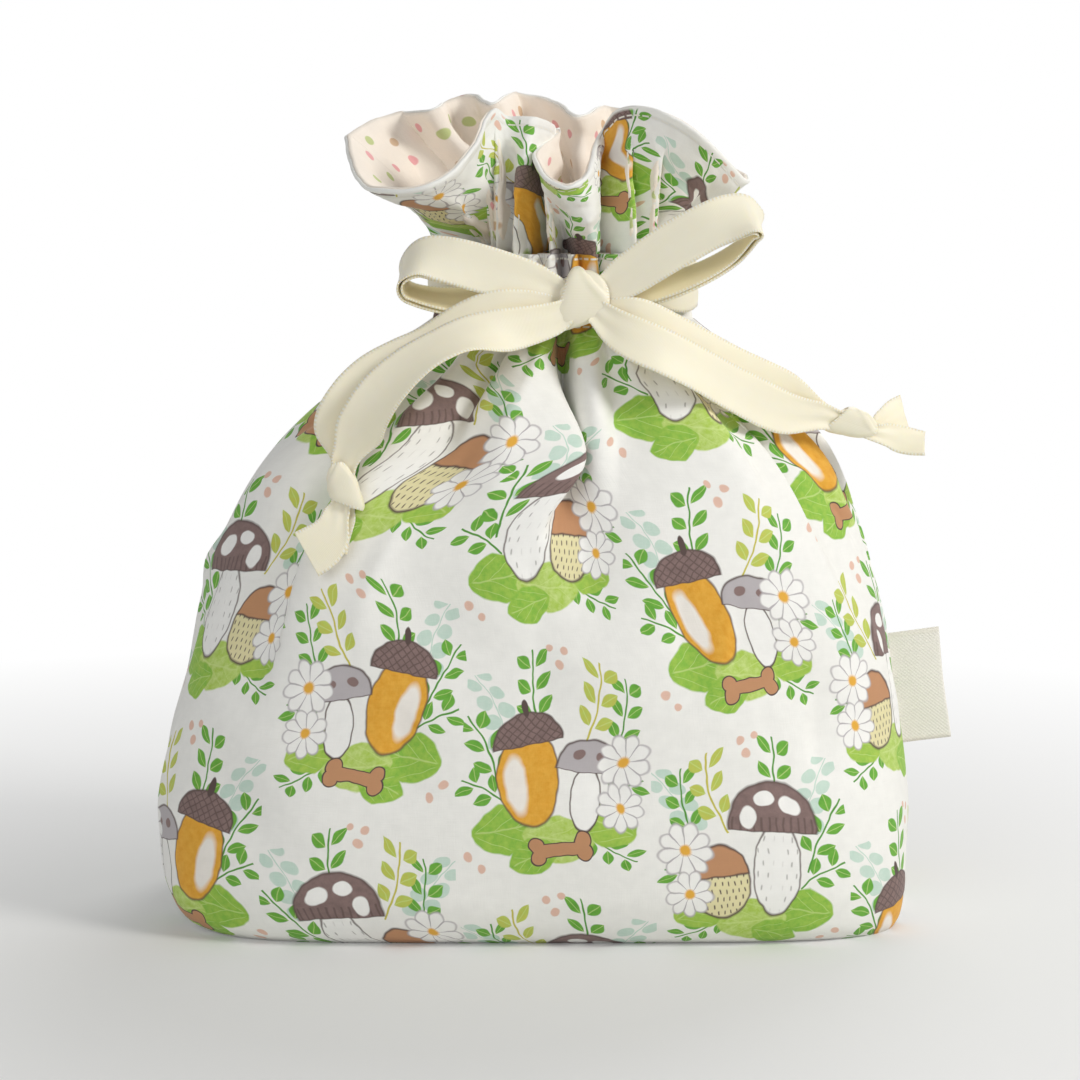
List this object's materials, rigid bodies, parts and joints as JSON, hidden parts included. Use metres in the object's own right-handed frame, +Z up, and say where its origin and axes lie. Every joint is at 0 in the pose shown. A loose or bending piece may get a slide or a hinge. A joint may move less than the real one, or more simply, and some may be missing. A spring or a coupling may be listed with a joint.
{
  "type": "treat pouch",
  "caption": "Lined, gathered drawstring cloth pouch with a boxed base, an open frill above the ribbon channel, a doubled satin ribbon bow with knotted ends and a blank side tag.",
  "frame": {"origin": "middle of the flat base, on the surface the pouch stands on", "axes": "+X to the right in a front view, -Y to the front, where the bow is, and +Z up to the frill"},
  "size_m": [0.1764, 0.0884, 0.1803],
  "materials": {
    "outer_cloth": "white printed cotton with small green, brown and ochre woodland motifs",
    "lining_cloth": "cream cotton with small pink, lime and tan dots",
    "satin_ribbon": "cream satin with a fine picot selvage",
    "tag_tape": "plain off-white woven tape, blank"
  },
  "bodies": {
    "pouch": {"outer_front_panel": "outer_cloth", "outer_back_panel": "outer_cloth", "lining_front_panel": "lining_cloth", "lining_back_panel": "lining_cloth", "left_drawstring": "satin_ribbon", "right_drawstring": "satin_ribbon", "left_lead": "satin_ribbon", "right_lead": "satin_ribbon", "bow_knot": "satin_ribbon"},
    "front_frill": {"front_frill_outer": "outer_cloth", "front_frill_lining": "lining_cloth"},
    "back_frill": {"back_frill_outer": "outer_cloth", "back_frill_lining": "lining_cloth"},
    "left_loop": {"left_loop_outer": "satin_ribbon", "left_loop_inner": "satin_ribbon"},
    "right_loop": {"right_loop_outer": "satin_ribbon", "right_loop_inner": "satin_ribbon"},
    "left_tail": {"left_tail_front": "satin_ribbon", "left_tail_rear": "satin_ribbon", "left_end_knot": "satin_ribbon", "left_cut_front": "satin_ribbon", "left_cut_rear": "satin_ribbon"},
    "right_tail": {"right_tail_front": "satin_ribbon", "right_tail_rear": "satin_ribbon", "right_end_knot": "satin_ribbon", "right_cut_front": "satin_ribbon", "right_cut_rear": "satin_ribbon"},
    "tag": {"side_tag": "tag_tape"}
  },
  "joints": [
    {"name": "front_frill_spread", "type": "hinge", "parent": "pouch", "child": "front_frill", "pos_m": [0.0065, -0.0223, 0.1461], "axis": [1, 0, 0], "range_deg": [0, 8], "stiffness_Nm_per_rad": 0.01},
    {"name": "back_frill_spread", "type": "hinge", "parent": "pouch", "child": "back_frill", "pos_m": [0.0065, 0.0223, 0.1461], "axis": [-1, 0, 0], "range_deg": [0, 20], "stiffness_Nm_per_rad": 0.01},
    {"name": "left_loop_lift", "type": "hinge", "parent": "pouch", "child": "left_loop", "pos_m": [0.005, -0.0258, 0.1375], "axis": [0, 1, 0], "range_deg": [0, 15], "stiffness_Nm_per_rad": 0.001},
    {"name": "right_loop_lift", "type": "hinge", "parent": "pouch", "child": "right_loop", "pos_m": [0.015, -0.0258, 0.1375], "axis": [0, -1, 0], "range_deg": [0, 15], "stiffness_Nm_per_rad": 0.001},
    {"name": "left_tail_swing", "type": "hinge", "parent": "pouch", "child": "left_tail", "pos_m": [0.005, -0.0287, 0.134], "axis": [0, 0, 1], "range_deg": [0, 60]},
    {"name": "right_tail_swing", "type": "hinge", "parent": "pouch", "child": "right_tail", "pos_m": [0.015, -0.0287, 0.1335], "axis": [0, 0, -1], "range_deg": [0, 60]},
    {"name": "tag_flex", "type": "hinge", "parent": "pouch", "child": "tag", "pos_m": [0.08062, 0, 0.04854], "axis": [-0.1291, 0, 0.9916], "range_deg": [-50, 50], "stiffness_Nm_per_rad": 0.001}
  ]
}
